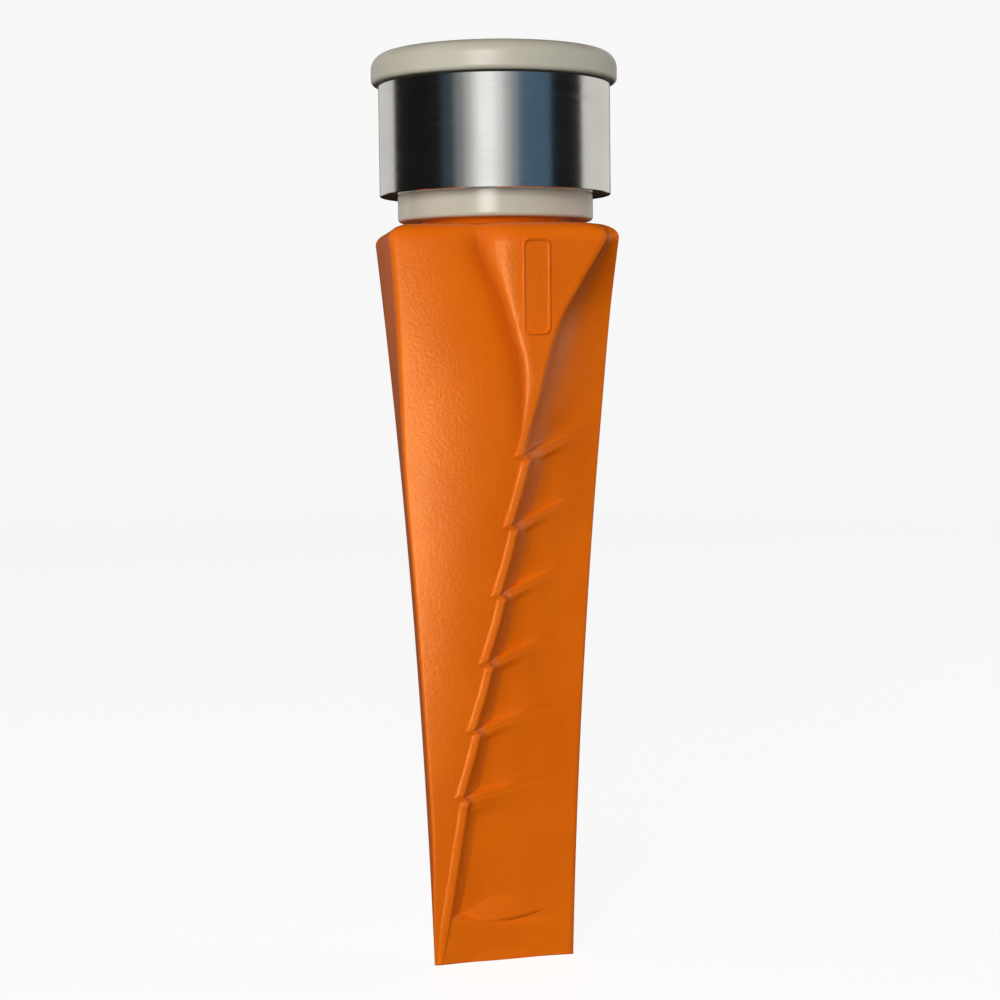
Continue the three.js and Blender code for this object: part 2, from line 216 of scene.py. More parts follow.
def turnedSteel(finish):
    material, tree, shader, coords = newMaterial("turnedSteel")
    shader.inputs["Metallic"].default_value = 1.0
    cloud = noiseAt(tree, coords, finish["cloudScale"], 3)
    colour = mixColour(tree, remap(tree, cloud, 0.35, 0.65, 0, 1), finish["colour"], finish["dullColour"])
    tree.links.new(colour, shader.inputs["Base Color"])
    shader.inputs["Anisotropic"].default_value = finish["anisotropy"]
    grooves = noiseAt(tree, coords, finish["grooveScale"], 2, 0.5, finish["grooveStretch"])
    low, high = finish["roughness"]
    tree.links.new(remap(tree, grooves, 0.3, 0.7, low, high), shader.inputs["Roughness"])
    tree.links.new(bumpFrom(tree, grooves, 0.3, finish["grooveDepth"]), shader.inputs["Normal"])
    tangent = tree.nodes.new("ShaderNodeTangent")
    tangent.direction_type = "RADIAL"
    tangent.axis = "Z"
    tree.links.new(tangent.outputs["Tangent"], shader.inputs["Tangent"])
    return material


orangeCoat = powderCoat(coatFinish)
whitePlastic = capPlastic(capFinish)
brightSteel = turnedSteel(ringFinish)
print("finishes made")

wedgeBody = {  # mm and degrees
    "stubTop": 206.0,
    "shoulder": 178.5,
    "edgeHalfLength": 17.05,
    "headHalfWidth": 29.3,
    "widthSag": 1.8,
    "headHalfDepth": 28.3,
    "depthSag": 1.8,
    "edgeTwist": 14.3,
    "edgeHalfThickness": 0.35,
    "shoulderRadius": 3.5,
    "sideShoulder": 7.0,
    "barbCount": 6,
    "barbPitch": 16.5,
    "topBarb": 123.8,
    "barbJog": 1.7,
    "jogBlend": 0.7,
    "pocketDepth": 1.7,
    "pocketSpread": 1.9,
    "topPocket": 0.5,
    "pocketReach": 11.0,
    "narrowReach": 5.0,
    "lipReach": 26.0,
    "wallShare": 0.45,  # the most of the scoop's width that its wall may take
    "dropShare": 0.8,
    "floorBow": 0.35,
    "rightInset": 0.4,
    "rowCurve": 1.7,
    "rowBow": 1.6,
    "barbCrest": 1.5,
    "barbStep": 1.1,
    "landWidth": 1.4,
    "footValley": 0.45,
    "valleyReach": 2.4,
    "beadGap": 0.8,
    "beadSwell": 0.8,
    "lip": 12.8,
    "lipStep": 1.8,
    "neckRadius": 18.3,
    "stubRadius": 17.6,
    "rowStep": 0.8,
    "barbRowStep": 0.22,
}
guides = {  # height and value, mm or degrees
    "crease": [(0, -15.3), (12.8, -13.0), (42, -8.9), (92, 0.6), (132, 8.0), (154, 13.7), (165, 19.6),
               (174, 25.0), (178.5, 26.4)],
    "tongueEdge": [(124, 5.0), (134, 6.5), (141, 7.5), (146.5, 7.3), (153, 5.8), (160, 4.0), (166, 3.0),
                   (172, 3.2), (178.5, 3.6)],
    "tongueFoot": [(124, 4.6), (134, 5.6), (145, 5.3), (154, 2.7), (161, 0.5), (168, -2.3), (173, -4.0),
                   (178.5, -4.4)],
    "tongueRise": [(0, 0.05), (40, 0.2), (124, 0.25), (135, 0.45), (145, 1.0), (155, 1.8), (165, 2.5),
                   (178.5, 3.0)],
    "tongueTurn": [(0, 14.3), (60, 12), (124, 9), (150, 9), (178.5, 10)],
    "kneeWidth": [(0, 0.6), (20, 1.3), (130, 1.1), (150, 1.6), (160, 3), (170, 4), (178.5, 5)],
    "faceStart": [(0, 14.3), (40, 7), (80, -3), (115, -8), (145, -7), (178.5, -2)],
    "faceEnd": [(0, 14.3), (40, 13), (80, 15), (115, 17), (145, 18), (160, 19), (178.5, 12)],
    "wallHeight": [(0, 0.02), (12.8, 0.7), (27, 1.2), (63, 1.9), (112, 3.0), (145, 5.0), (160, 6.3),
                   (170, 5.0), (178.5, 2.5)],
    "wallWidth": [(0, 0.5), (27, 1.7), (63, 2.2), (112, 2.7), (145, 6.5), (160, 7.5), (170, 3.5),
                  (178.5, 1.4)],
    "sideHeight": [(0, 0.35), (63, 1.2), (112, 2.2), (145, 5.5), (160, 9.5), (171, 17), (178.5, 21.5)],
    "rowRise": [(0, 0), (12.8, -2.2), (42, 4.0), (80, 6.6), (124, 6.2), (162, 1.2), (178.5, 0)],
}
columns = {  # how many steps each stretch of a row takes, left to right
    "side": 5,
    "corner": 7,
    "face": 24,
    "flank": 8,
    "tongue": 16,
    "wall": 14,
    "floor": 30,
    "rightSide": 5,
}


def mix(a, b, t):
    return a + (b - a) * t


def clamp(value):
    return min(max(value, 0.0), 1.0)


def ease(low, high, value):
    t = clamp((value - low) / (high - low))
    return t * t * (3 - 2 * t)


def along(name, height):
    # a smooth curve through the guide's points
    line = guides[name]
    if height <= line[0][0]:
        return line[0][1]
    if height >= line[-1][0]:
        return line[-1][1]
    i = 0
    while height > line[i + 1][0]:
        i += 1

    def slope(k):
        a = line[max(k - 1, 0)]
        b = line[min(k + 1, len(line) - 1)]
        return (b[1] - a[1]) / (b[0] - a[0])

    (z0, v0), (z1, v1) = line[i], line[i + 1]
    span = z1 - z0
    t = (height - z0) / span
    return ((2 * t**3 - 3 * t**2 + 1) * v0 + (t**3 - 2 * t**2 + t) * span * slope(i)
            + (3 * t**2 - 2 * t**3) * v1 + (t**3 - t**2) * span * slope(i + 1))


def halfWidth(b, z):
    t = z / b["shoulder"]
    return mix(b["edgeHalfLength"], b["headHalfWidth"], t) - 4 * b["widthSag"] * t * (1 - t)


def edgeOffset(b):
    return b["edgeHalfLength"] * math.tan(math.radians(b["edgeTwist"]))


def leftDepth(b, z):
    # how far forward the front left corner stands
    t = z / b["shoulder"]
    sag = b["depthSag"] * math.sin(math.pi * t) ** 2
    return mix(edgeOffset(b) + b["edgeHalfThickness"], b["headHalfDepth"], t) - sag


def partingDepth(b, z):
    return edgeOffset(b) * (1 - ease(0, b["shoulder"], z))


def draftWidth(b, z):
    # how far the side leans in from the parting line to the front corner
    return 0.15 + 1.05 * ease(0, 35, z) + 0.35 * ease(60, 110, z) + 3.2 * ease(110, b["shoulder"], z)


def cornerRadius(b, z):
    return 0.2 + 0.7 * ease(0, 40, z) + 1.3 * ease(95, b["shoulder"], z)


def lowestBarb(b):
    return b["topBarb"] - (b["barbCount"] - 1) * b["barbPitch"]


def pocketPhase(b, z):
    # 0 just under a barb's tip, 1 down at the next one
    if z >= b["topBarb"]:
        return 0.0
    low = lowestBarb(b)
    if z <= low:
        return (low - z) / (low - b["lip"])
    return ((b["topBarb"] - z) % b["barbPitch"]) / b["barbPitch"]


def jogAt(b, z):
    # how far the ridge steps sideways to make the saw-toothed barbs
    jog, top, pitch, blend = b["barbJog"], b["topBarb"], b["barbPitch"], b["jogBlend"]
    if z >= top + blend:
        return -jog / 2 * (1 - ease(0, pitch, z - top - blend))
    nearest = min(round((top - z) / pitch), b["barbCount"] - 1)
    above = z - (top - nearest * pitch)
    if abs(above) < blend:
        return jog * (0.5 - ease(-blend, blend, above))
    if z < lowestBarb(b):
        return jog / 2 * clamp(1 - pocketPhase(b, z))
    return jog * (0.5 - pocketPhase(b, z) ** 1.6)


def edgeAt(b, z, ridge):
    land = ridge - mix(0.55, b["landWidth"], ease(0, 10, z))
    return mix(land, along("tongueEdge", z), ease(124, 134, z))


def footAt(z, edge):
    return mix(edge - 0.6, along("tongueFoot", z), ease(124, 134, z))


def pocketOpening(b, z):
    # the share of its full depth that a pocket has at this height
    top, low = b["topBarb"], lowestBarb(b)
    if z >= top:
        return b["topPocket"] * ease(0, b["barbStep"], z - top) * (1 - ease(2, 10, z - top))
    if z < b["lip"] - b["lipStep"]:
        return 0.0
    phase = pocketPhase(b, z)
    crest = b["barbCrest"] / b["barbPitch"]
    opening = ease(crest, 2 * crest, phase) * (0.35 + 0.65 * phase)
    if z < low:
        return opening * ease(b["lip"] - b["lipStep"], b["lip"], z)
    return opening * (1 - ease(1 - b["barbStep"] / b["barbPitch"], 1, phase))


def pocketFade(b, z, run):
    phase = b["topPocket"] if z >= b["topBarb"] else pocketPhase(b, z)
    wide = b["lipReach"] if z < lowestBarb(b) else b["pocketReach"]
    return 1 - ease(0, mix(b["narrowReach"], wide, phase), run)


def beadEnds(b, z):
    # the land sinks where one barb's bead ends and the next begins, and swells beside the gap
    if z > b["topBarb"] + 6 or z < lowestBarb(b) - 6:
        return 1.0
    nearest = b["topBarb"] - b["barbPitch"] * round((b["topBarb"] - z) / b["barbPitch"])
    gap = (z - nearest) / b["beadGap"]
    return 1 - 0.6 * math.exp(-gap * gap) + b["beadSwell"] * math.exp(-((abs(gap) - 1.7) ** 2) * 1.5)


def wallProfile(t):
    # the share of the wall still standing at t of its run: round at the crest, then steep, then fading
    return 1 - ease(-0.05, 0.35, t) * (1 - (1 - t) ** 2.2)


def frontRow(b, z):
    # one row across the front half at height z, from the left parting line to the right one
    points = []

    def add(x, depth, height=None):
        points.append((x, -depth, z if height is None else height))

    w, d, radius = halfWidth(b, z), leftDepth(b, z), cornerRadius(b, z)
    startTurn = math.radians(along("faceStart", z))
    endTurn = math.radians(along("faceEnd", z))
    draft = math.atan2(draftWidth(b, z), d - partingDepth(b, z))
    cornerX = -w + draftWidth(b, z) + radius * math.cos(draft) * (1 - math.sin(draft))
    cornerDepth = d - radius
    sideX = cornerX - radius * math.cos(draft)
    sideDepth = cornerDepth + radius * math.sin(draft)
    # left side and its rounded corner
    for i in range(columns["side"]):
        t = i / columns["side"]
        add(mix(-w, sideX, t), mix(partingDepth(b, z), sideDepth, t))
    for i in range(columns["corner"] + 1):
        turn = mix(-math.pi / 2 + draft, startTurn, i / columns["corner"])
        add(cornerX + radius * math.sin(turn), cornerDepth + radius * math.cos(turn))
    # left face, bowed between its two slopes, down to a shallow valley at the tongue's foot
    faceX = cornerX + radius * math.sin(startTurn)
    faceTop = cornerDepth + radius * math.cos(startTurn)
    evenRidge = along("crease", z)
    evenEdge = edgeAt(b, z, evenRidge)
    faceRun = footAt(z, evenEdge) - faceX
    slopeA, slopeB = math.tan(startTurn), math.tan(endTurn)
    valley = b["footValley"] * ease(128, 150, z) * (1 - 0.6 * ease(165, b["shoulder"], z))

    def faceDepth(x):
        t = (x - faceX) / faceRun
        drop = faceRun * (slopeA * t + (slopeB - slopeA) * t * t / 2)
        reach = (1 - t) * faceRun / b["valleyReach"]
        return faceTop - drop - valley * math.exp(-reach * reach)

    ridge = evenRidge + jogAt(b, z)
    edge = edgeAt(b, z, ridge)
    foot = footAt(z, edge)
    for i in range(1, columns["face"] + 1):
        x = mix(faceX, foot, i / columns["face"])
        add(x, faceDepth(x))
    # flank up to the tongue, which narrows to a bead along the barbs
    bead = along("tongueRise", z) * beadEnds(b, z)
    for i in range(1, columns["flank"] + 1):
        t = i / columns["flank"]
        add(mix(foot, edge, t), faceDepth(foot) + (bead + valley) * (1 - (1 - t) ** 2))
    fall = math.tan(math.radians(along("tongueTurn", z)))
    soft = along("kneeWidth", z)

    def topDepth(x, start):
        over = x - start
        bend = over * over / (2 * soft) if over < soft else over - soft / 2
        return faceDepth(footAt(z, start)) + valley + bead - fall * bend

    for i in range(1, columns["tongue"] + 1):
        x = mix(edge, ridge, i / columns["tongue"])
        add(x, topDepth(x, edge))
    # wall of the scoop and its floor, whose rows climb to the right, with a pocket under each barb
    lift = along("rowRise", z)
    rightHeight = z + lift
    rightX = halfWidth(b, rightHeight) - b["rightInset"] * ease(120, b["shoulder"], z)
    rightDepth = along("sideHeight", rightHeight) - partingDepth(b, rightHeight)
    evenSpan = rightX - evenRidge
    opening = pocketOpening(b, z)
    wallRun = min(along("wallWidth", z) * mix(1, b["pocketSpread"], opening), b["wallShare"] * evenSpan)
    evenTop = topDepth(evenRidge, evenEdge)
    wallDrop = min(along("wallHeight", z), b["dropShare"] * (evenTop - rightDepth))
    pocket = b["pocketDepth"] * opening

    def floorDepth(x):
        t = (x - evenRidge) / evenSpan
        return mix(evenTop - wallDrop, rightDepth, t + b["floorBow"] * t * (1 - t))

    def place(x, depth):
        run = x - ridge
        f = run / (rightX - ridge)
        sink = pocket * pocketFade(b, z, max(run - wallRun, 0)) * clamp(run / wallRun)
        bow = b["rowBow"] * lift * f * (1 - f) if lift < 0 else 0
        add(x, depth - sink, z + lift * (1 - max(1 - f, 0) ** b["rowCurve"]) + bow)

    wallTop = topDepth(ridge, edge) - floorDepth(ridge)
    for i in range(1, columns["wall"] + 1):
        t = i / columns["wall"]
        x = ridge + wallRun * t
        place(x, floorDepth(x) + wallTop * wallProfile(t))
    for i in range(1, columns["floor"] + 1):
        x = mix(ridge + wallRun, rightX, (i / columns["floor"]) ** 1.3)
        place(x, floorDepth(x))
    # right side
    for i in range(1, columns["rightSide"]):
        t = i / columns["rightSide"]
        add(mix(rightX, w, t), mix(rightDepth, -partingDepth(b, z), t), mix(rightHeight, z, t))
    add(w, -partingDepth(b, z))
    return points


def rowHeights(b):
    # close rows at the cutting edge, at the lip and where each barb steps
    heights = [0, 0.4, 1.2] + [2.2 + 0.9 * i for i in range(9)]
    heights += [b["lip"] - b["lipStep"] + 0.3 * i for i in range(7)]
    z = b["lip"] + 0.6
    top = b["shoulder"] - b["shoulderRadius"]
    while z < top - 0.3:
        heights.append(z)
        phase = pocketPhase(b, z) if z < b["topBarb"] + 2 else 0.5
        near = min(phase, 1 - phase) * b["barbPitch"]
        z += b["barbRowStep"] if near < 1.6 and z > lowestBarb(b) - 3 else b["rowStep"]
    heights.append(top)
    return heights


def arcPoints(cx, cz, radius, start, end, steps):
    points = []
    for i in range(steps + 1):
        a = math.radians(mix(start, end, i / steps))
        points.append((cx + radius * math.cos(a), cz + radius * math.sin(a)))
    return points


castSkin = {  # how uneven the forging is under its coat: height and size in mm
    "broad": (0.05, 15.0),
    "fine": (0.012, 4.5),
}


def roughSkin(bm, b):
    for v in bm.verts:
        x, y, z = v.co / mm
        if z < 2 or z > b["shoulder"] or y > -0.5:
            continue
        swell = 0.0
        for height, size in castSkin.values():
            swell += height * noise.noise(Vector((x, y, z)) / size)
        share = ease(2, 8, z) * (1 - ease(b["shoulder"] - 2, b["shoulder"], z)) * ease(0.5, 3, -y)
        share *= ease(0, 1.5, halfWidth(b, z) - abs(x))  # the parting line stays put, so the halves meet
        v.co.y += swell * share * mm


namePlate = {  # a blank raised outline on the tongue, mm
    "centre": (9.3, 163.8),
    "width": 6.4,
    "height": 22.0,
    "corner": 1.9,
    "rise": 0.55,
    "rim": 0.8,
    "field": 0.12,
    "root": 1.2,
    "softEdge": 0.22,
    "sharpTurn": 32,
    "sideSteps": 9,
}


def surfaceDepth(b, x, z):
    row = frontRow(b, z)
    for left, right in zip(row, row[1:]):
        if left[0] <= x <= right[0] and right[0] > left[0]:
            return mix(-left[1], -right[1], (x - left[0]) / (right[0] - left[0]))
    return -row[0][1]


def addPlate(bm, b, plate):
    # drawn flat, with y the height over the skin, then laid on the skin and joined to the body
    wide, tall = plate["width"] / 2 - plate["corner"], plate["height"] / 2 - plate["corner"]
    steps = plate["sideSteps"]
    outline = []
    for sideX, sideZ, start in ((1, -1, -90), (1, 1, 0), (-1, 1, 90), (-1, -1, 180)):
        outline += arcPoints(sideX * wide, sideZ * tall, plate["corner"], start, start + 90, 7)
        if start in (-90, 90):  # the long sides are cut up, to follow the bowed skin
            x, z = outline[-1]
            outline += [(x, mix(z, -z, k / steps)) for k in range(1, steps)]
    flat = bmesh.new()
    top = flat.faces.new([flat.verts.new((x, plate["rise"], z)) for x, z in outline])
    bottom = bmesh.ops.extrude_face_region(flat, geom=[top])["geom"]
    for v in [g for g in bottom if isinstance(g, bmesh.types.BMVert)]:
        v.co.y = -plate["root"]
    bmesh.ops.inset_region(flat, faces=[top], thickness=plate["rim"], use_even_offset=True)
    for v in top.verts:
        v.co.y = plate["field"]
    crests = [e for e in flat.edges if min(v.co.y for v in e.verts) > plate["rise"] - 0.005]
    bmesh.ops.bevel(flat, geom=crests, offset=plate["softEdge"], segments=3, profile=0.5,
                    affect="EDGES", material=-1)
    bmesh.ops.triangulate(flat, faces=[f for f in flat.faces if len(f.verts) > 6])
    for edge in flat.edges:
        edge.smooth = edge.calc_face_angle(0) < math.radians(plate["sharpTurn"])
    centreX, centreZ = plate["centre"]
    for v in flat.verts:
        x, z = v.co.x + centreX, v.co.z + centreZ
        v.co = Vector((x, -surfaceDepth(b, x, z) - v.co.y, z)) * mm
    bmesh.ops.recalc_face_normals(flat, faces=flat.faces)
    laid = bpy.data.meshes.new("laidPlate")
    flat.to_mesh(laid)
    flat.free()
    bm.from_mesh(laid)
    bpy.data.meshes.remove(laid)


paintedGrooveShade = {  # painted shade: the dark line at the tongue's foot, and how far it reaches each way in mm
    "strength": 0.6,
    "towardsTongue": 1.1,
    "towardsFace": 2.2,
}


def bodyRows(b):
    rows = [frontRow(b, z) for z in rowHeights(b)]
    rim = rows[-1]
    for turn in [12, 24, 36, 48, 60, 72, 81, 90]:  # the rounded shoulder
        a = math.radians(turn)
        row = []
        for x, y, z in rim:
            reach = mix(b["shoulderRadius"], b["sideShoulder"], ease(0.72, 1, abs(x) / b["headHalfWidth"]))
            inset = 1 - reach * (1 - math.cos(a)) / b["headHalfDepth"]
            row.append((x * inset, y * inset, z + b["shoulderRadius"] * math.sin(a)))
        rows.append(row)
    shoulder = rows[-1]
    neck, stub = b["neckRadius"], b["stubRadius"]
    end = b["stubTop"] - b["shoulder"]
    steps = [  # how far towards round, radius, height over the shoulder's lower edge
        (0.5, neck + 3, 0), (1, neck + 0.8, 0), (1, neck + 0.25, 0.2), (1, neck, 0.8),
        (1, neck, 2.9), (1, stub, 3.9), (1, stub, end - 2), (1, stub - 2, end),
    ]
    for share, radius, lift in steps:
        row = []
        for x, y, z in shoulder:
            scale = radius / math.hypot(x, y)
            row.append((mix(x, x * scale, share), mix(y, y * scale, share), z + lift))
        rows.append(row)
    return rows


# how much painted shade darkens the coat at the tongue's foot, where the groove would be in shade
def paintedShadeAt(x, z, footX):
    reach = (x - footX) / paintedGrooveShade["towardsTongue" if x > footX else "towardsFace"]
    return paintedGrooveShade["strength"] * math.exp(-reach * reach) * ease(120, 140, z) * (1 - ease(172, 178, z))


def buildBody(b):
    # a grid laid on the rows makes the front half, and the same half turned round makes the back
    scale = bodyHigh.z / b["stubTop"]
    rows = bodyRows(b)
    wide, tall = len(rows[0]), len(rows)
    footColumn = columns["side"] + columns["corner"] + columns["face"]
    bm = bmesh.new()
    bmesh.ops.create_grid(bm, x_segments=wide - 1, y_segments=tall - 1, size=1)
    onFoot = bm.verts.layers.int.new("foot")
    paintedShade = bm.verts.layers.float.new("paintedShade")
    for v in bm.verts:
        column = round((v.co.x + 1) / 2 * (wide - 1))
        row = rows[round((v.co.y + 1) / 2 * (tall - 1))]
        x, y, z = row[column]
        v.co = Vector((x, y, z)) * scale
        v[onFoot] = int(column == footColumn and 20 < z < b["shoulder"] - 2)
        # the painted shade mask, stored per vertex for the coat
        v[paintedShade] = paintedShadeAt(x, z, row[footColumn][0])
    roughSkin(bm, b)
    addPlate(bm, b, namePlate)
    back = bmesh.ops.duplicate(bm, geom=bm.verts[:] + bm.edges[:] + bm.faces[:])["geom"]
    bmesh.ops.rotate(bm, cent=(0, 0, 0), matrix=Matrix.Rotation(math.pi, 3, "Z"),
                     verts=[g for g in back if isinstance(g, bmesh.types.BMVert)])
    bmesh.ops.remove_doubles(bm, verts=bm.verts, dist=2e-6)
    bmesh.ops.holes_fill(bm, edges=[e for e in bm.edges if e.is_boundary], sides=0)
    bmesh.ops.recalc_face_normals(bm, faces=bm.faces)
    for face in bm.faces:
        face.smooth = True
    onFoot = bm.verts.layers.int.get("foot")
    for edge in bm.edges:
        edge.smooth = edge.smooth and not (edge.verts[0][onFoot] and edge.verts[1][onFoot])
    mesh = bpy.data.meshes.new("forged_body")
    bm.to_mesh(mesh)
    print("forged body", len(bm.verts), "verts", sum(len(f.verts) - 2 for f in bm.faces), "tris")
    bm.free()
    piece = bpy.data.objects.new("forged_body", mesh)
    scene.collection.objects.link(piece)
    mesh.materials.append(orangeCoat)
    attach(piece, "root")
    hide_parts("wedge_body")
    return piece


forgedPiece = buildBody(wedgeBody)

turning = {
    "steps": 192,
    "sharpTurn": 28,  # degrees, past which an edge is left crisp
}


def turnPiece(name, profile, closed, node, finish):
    # profile in mm, from the axis out and round; spun a full turn about Z
    bm = bmesh.new()
    line = [bm.verts.new((r * mm, 0, z * mm)) for r, z in profile]
    pairs = list(zip(line, line[1:])) + ([(line[-1], line[0])] if closed else [])
    edges = [bm.edges.new(pair) for pair in pairs]
    bmesh.ops.spin(bm, geom=line + edges, cent=(0, 0, 0), axis=(0, 0, 1), angle=2 * math.pi,
                   steps=turning["steps"], use_merge=True)
    bmesh.ops.remove_doubles(bm, verts=bm.verts, dist=1e-6)
    bmesh.ops.recalc_face_normals(bm, faces=bm.faces)
    for face in bm.faces:
        face.smooth = True
    for edge in bm.edges:
        soft = edge.calc_face_angle(0) < math.radians(turning["sharpTurn"])
        edge.smooth = len(edge.link_faces) < 2 or soft
    mesh = bpy.data.meshes.new(name)
    bm.to_mesh(mesh)
    bm.free()
    piece = bpy.data.objects.new(name, mesh)
    scene.collection.objects.link(piece)
    mesh.materials.append(finish)
    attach(piece, "root")
    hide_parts(node)
    return piece


strikingCap = {  # mm
    "flangeThickness": 7.2,
    "flangeRounding": 3.7,
    "underRounding": 1.1,
    "coreRadius": 23.4,
    "lowerRounding": 0.9,
    "boreRadius": 17.85,
    "boreTop": 206.25,
    "boreChamfer": 1.95,
    "neckBore": 18.55,
    "neckDepth": 1.4,
    "neckTaper": 1.0,
    "flatRim": 1.4,
    "dish": 0.25,  # the top face is very slightly hollow from moulding
    "dishRim": 3.2,
    "dishFloor": 10.0,
    "ejectorRadius": 4.0,
    "ejectorDepth": 0.2,
    "ejectorWall": 0.25,
}


def buildCap(c):
    top, outer, bottom = capHigh.z / mm, capHigh.x / mm, capLow.z / mm
    under = top - c["flangeThickness"]
    over, below, low = c["flangeRounding"], c["underRounding"], c["lowerRounding"]
    bore, boreTop, chamfer = c["boreRadius"], c["boreTop"], c["boreChamfer"]
    neckTop = bottom + c["neckDepth"]
    floor, mark = top - c["dish"], c["ejectorRadius"]
    profile = [(0, boreTop), (bore - chamfer, boreTop), (bore, boreTop - chamfer),
               (bore, neckTop + c["neckTaper"]), (c["neckBore"], neckTop), (c["neckBore"], bottom)]
    profile += arcPoints(c["coreRadius"] - low, bottom + low, low, -90, 0, 6)
    profile += [(c["coreRadius"], under)]
    profile += arcPoints(outer - below, under + below, below, -90, 0, 8)
    profile += arcPoints(outer - over, top - over, over, 0, 84, 14)
    profile += [(outer - over - c["flatRim"], top), (outer - over - c["dishRim"], top - c["dish"] * 0.6),
                (c["dishFloor"], floor), (mark + c["ejectorWall"], floor),
                (mark, floor - c["ejectorDepth"]), (0, floor - c["ejectorDepth"])]
    return turnPiece("striking_cap_moulded", profile, False, "striking_cap", whitePlastic)


impactRing = {  # mm
    "innerRadius": 23.65,
    "chamfer": 0.15,
}


def buildRing(c):
    bottom, top, outer = ringLow.z / mm, ringHigh.z / mm, ringHigh.x / mm
    inner, k = c["innerRadius"], c["chamfer"]
    profile = [(inner, bottom + k), (inner + k, bottom), (outer - k, bottom), (outer, bottom + k),
               (outer, top - k), (outer - k, top), (inner + k, top), (inner, top - k)]
    return turnPiece("impact_ring_turned", profile, True, "impact_ring", brightSteel)


capPiece = buildCap(strikingCap)
ringPiece = buildRing(impactRing)
print("cap and ring turned")

studio = {  # metres
    "floorRadius": 1.3,
    "wallRadius": 2.0,
    "wallHeight": 2.6,
    "bendSteps": 12,
    "turnSteps": 64,
    "grey": 0.16,
    "glow": 0.9,
    "room": (0.009, 0.009, 0.0085),
    "aimHeight": 0.13,
}


def addSweep(setup):
    # a round pale floor that curves up into a wall
    bm = bmesh.new()
    bend = setup["wallRadius"] - setup["floorRadius"]
    line = [bm.verts.new((0, 0, 0)), bm.verts.new((setup["floorRadius"], 0, 0))]
    for i in range(1, setup["bendSteps"] + 1):
        a = math.radians(90 * i / setup["bendSteps"])
        line.append(bm.verts.new((setup["floorRadius"] + bend * math.sin(a), 0, bend - bend * math.cos(a))))
    line.append(bm.verts.new((setup["wallRadius"], 0, setup["wallHeight"])))
    edges = [bm.edges.new(pair) for pair in zip(line, line[1:])]
    bmesh.ops.spin(bm, geom=line + edges, cent=(0, 0, 0), axis=(0, 0, 1), angle=2 * math.pi,
                   steps=setup["turnSteps"], use_merge=True)
    bmesh.ops.remove_doubles(bm, verts=bm.verts, dist=1e-5)
    for face in bm.faces:
        face.smooth = True
    mesh = bpy.data.meshes.new("paleSweep")
    bm.to_mesh(mesh)
    bm.free()
    sweep = bpy.data.objects.new("paleSweep", mesh)
    scene.collection.objects.link(sweep)
    material, tree, shader, coords = newMaterial("paleSweep")
    shader.inputs["Base Color"].default_value = (setup["grey"], setup["grey"], setup["grey"], 1)
    shader.inputs["Roughness"].default_value = 0.9
    shader.inputs["Emission Color"].default_value = (1, 1, 1, 1)
    shader.inputs["Emission Strength"].default_value = setup["glow"]
    mesh.materials.append(material)
    sweep.visible_diffuse = False  # the sweep lights nothing, so the darks stay dark
    sweep.visible_glossy = False


addSweep(studio)

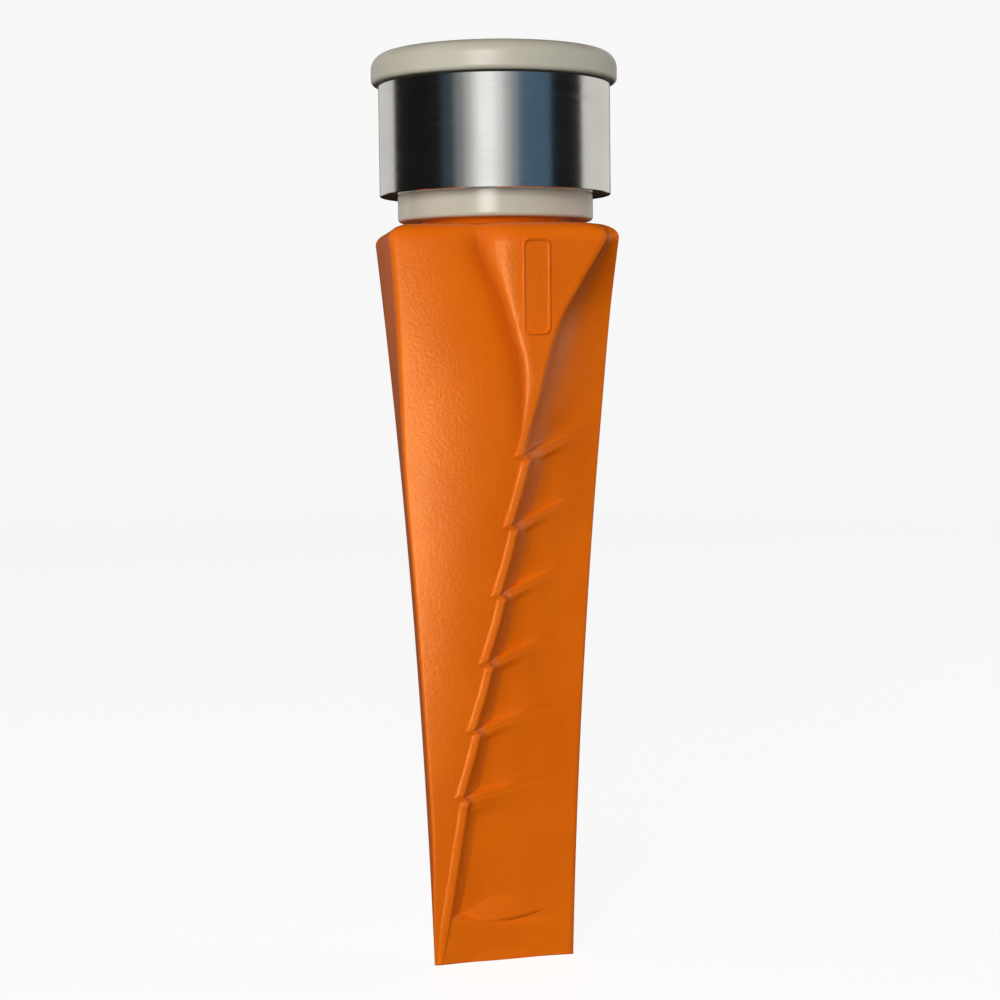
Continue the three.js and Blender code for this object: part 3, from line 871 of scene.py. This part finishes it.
# turn is the bearing round the object, 0 at the camera and 90 to the right; size and place in metres;
# sees is the kind of light it gives, and on is the group of pieces it is kept to
lamps = {
    "frontKey": {
        "turn": -12, "width": 0.8, "height": 0.8, "distance": 1.3, "up": 0.35, "energy": 19,
        "colour": (1.0, 0.985, 0.96), "sees": "diffuse"},
    "frontStripA": {
        "turn": -8, "width": 1.62, "height": 0.98, "distance": 1.3, "up": 0.56, "energy": 1.0,
        "colour": (0.95, 0.99, 1.0), "sees": "glossy", "on": "top"},
    "frontStripB": {
        "turn": -6.5, "width": 1.13, "height": 0.98, "distance": 1.29, "up": 0.56, "energy": 0.85,
        "colour": (1.0, 0.99, 0.96), "sees": "glossy", "on": "top"},
    "frontStripC": {
        "turn": -6.5, "width": 0.72, "height": 0.98, "distance": 1.28, "up": 0.56, "energy": 0.71,
        "colour": (1.0, 0.99, 0.95), "sees": "glossy", "on": "top"},
    "frontStripD": {
        "turn": -7.5, "width": 0.39, "height": 0.98, "distance": 1.27, "up": 0.56, "energy": 0.33,
        "colour": (1.0, 1.0, 0.99), "sees": "glossy", "on": "top"},
    "lowSheen": {
        "turn": -26, "width": 0.13, "height": 0.1, "distance": 0.235, "up": 0.036, "energy": 0.49,
        "colour": (0.94, 1.0, 0.56), "sees": "glossy", "on": "coat"},
    "cornerGlint": {
        "turn": -50, "width": 0.25, "height": 0.25, "distance": 0.9, "up": 0.95, "energy": 0.45,
        "colour": (1.0, 0.99, 0.97), "sees": "glossy", "on": "coat"},
    "softFront": {
        "turn": -20, "width": 0.9, "height": 0.9, "distance": 1.3, "up": 0.5, "energy": 0.08,
        "colour": (1.0, 0.95, 0.7), "sees": "glossy", "on": "coat"},
    "wallSheen": {
        "turn": 105, "width": 1.3, "height": 1.1, "distance": 1.2, "up": 0.2, "energy": 4.2,
        "colour": (0.8, 1.0, 0.78), "sees": "glossy", "on": "coat"},
    "sideSheen": {
        "turn": -138, "width": 0.52, "height": 1.2, "distance": 1.1, "up": 0.35, "energy": 0.9,
        "colour": (0.9, 1.0, 1.0), "sees": "glossy", "on": "coat"},
    "capGlow": {
        "turn": -9, "width": 0.4, "height": 1.0, "distance": 1.25, "up": 0.5, "energy": 11,
        "colour": (1.0, 0.98, 0.95), "sees": "glossy", "on": "cap"},
    "rightWing": {
        "turn": 38, "width": 0.88, "height": 1.2, "distance": 1.3, "up": 0.4, "energy": 0.55,
        "colour": (0.36, 0.66, 1.0), "sees": "glossy", "on": "top"},
    "leftWing": {
        "turn": -45, "width": 0.36, "height": 1.2, "distance": 1.3, "up": 0.4, "energy": 0.08,
        "colour": (0.4, 0.7, 0.9), "sees": "glossy", "on": "top"},
    "rightFill": {
        "turn": 105, "width": 1.0, "height": 1.0, "distance": 1.3, "up": 0.4, "energy": 6.6,
        "colour": (1.0, 0.97, 0.92), "sees": "diffuse"},
    "rightPanel": {
        "turn": 129, "width": 1.5, "height": 1.2, "distance": 1.1, "up": 0.35, "energy": 3.8,
        "colour": (1.0, 0.975, 0.915), "sees": "glossy", "on": "top"},
    "leftFill": {
        "turn": -80, "width": 0.8, "height": 1.0, "distance": 1.3, "up": 0.4, "energy": 3.6,
        "colour": (1.0, 0.97, 0.92), "sees": "diffuse"},
    "leftPanel": {
        "turn": -140.3, "width": 1.0, "height": 1.2, "distance": 1.1, "up": 0.35, "energy": 2.4,
        "colour": (1.0, 0.97, 0.92), "sees": "glossy", "on": "top"},
    "backFill": {
        "turn": 178, "width": 1.1, "height": 1.1, "distance": 1.3, "up": 0.5, "energy": 16,
        "colour": (1.0, 0.98, 0.95), "sees": "diffuse", "on": "all"},
}
lampGroups = {
    "coat": [forgedPiece],
    "cap": [capPiece],
    "top": [capPiece, ringPiece],
    "all": [forgedPiece, capPiece, ringPiece],
}


def receiverCollection(name, pieces):
    receivers = bpy.data.collections.new(name + "Receivers")
    for piece in pieces:
        receivers.objects.link(piece)
    return receivers


def addLamp(name, lamp, receivers):
    light = bpy.data.lights.new(name, "AREA")
    light.shape = "RECTANGLE"
    light.size = lamp["width"]
    light.size_y = lamp["height"]
    light.color = lamp["colour"]
    light.energy = lamp["energy"]
    holder = bpy.data.objects.new(name, light)
    scene.collection.objects.link(holder)
    turn = math.radians(lamp["turn"])
    place = Vector((math.sin(turn), -math.cos(turn), 0)) * lamp["distance"] + Vector((0, 0, lamp["up"]))
    aim = Vector((0, 0, studio["aimHeight"])) - place
    holder.matrix_world = Matrix.Translation(place) @ aim.to_track_quat("-Z", "Y").to_matrix().to_4x4()
    if "on" in lamp:
        holder.light_linking.receiver_collection = receivers[lamp["on"]]
    holder.visible_camera = False
    holder.visible_glossy = lamp["sees"] != "diffuse"
    holder.visible_diffuse = lamp["sees"] != "glossy"


receivers = {name: receiverCollection(name, pieces) for name, pieces in lampGroups.items()}
for name, lamp in lamps.items():
    addLamp(name, lamp, receivers)

world = bpy.data.worlds.new("studioWorld")
world.use_nodes = True
world.node_tree.nodes["Background"].inputs["Color"].default_value = (*studio["room"], 1)
scene.world = world
print("studio lit with", len(lamps), "lamps")
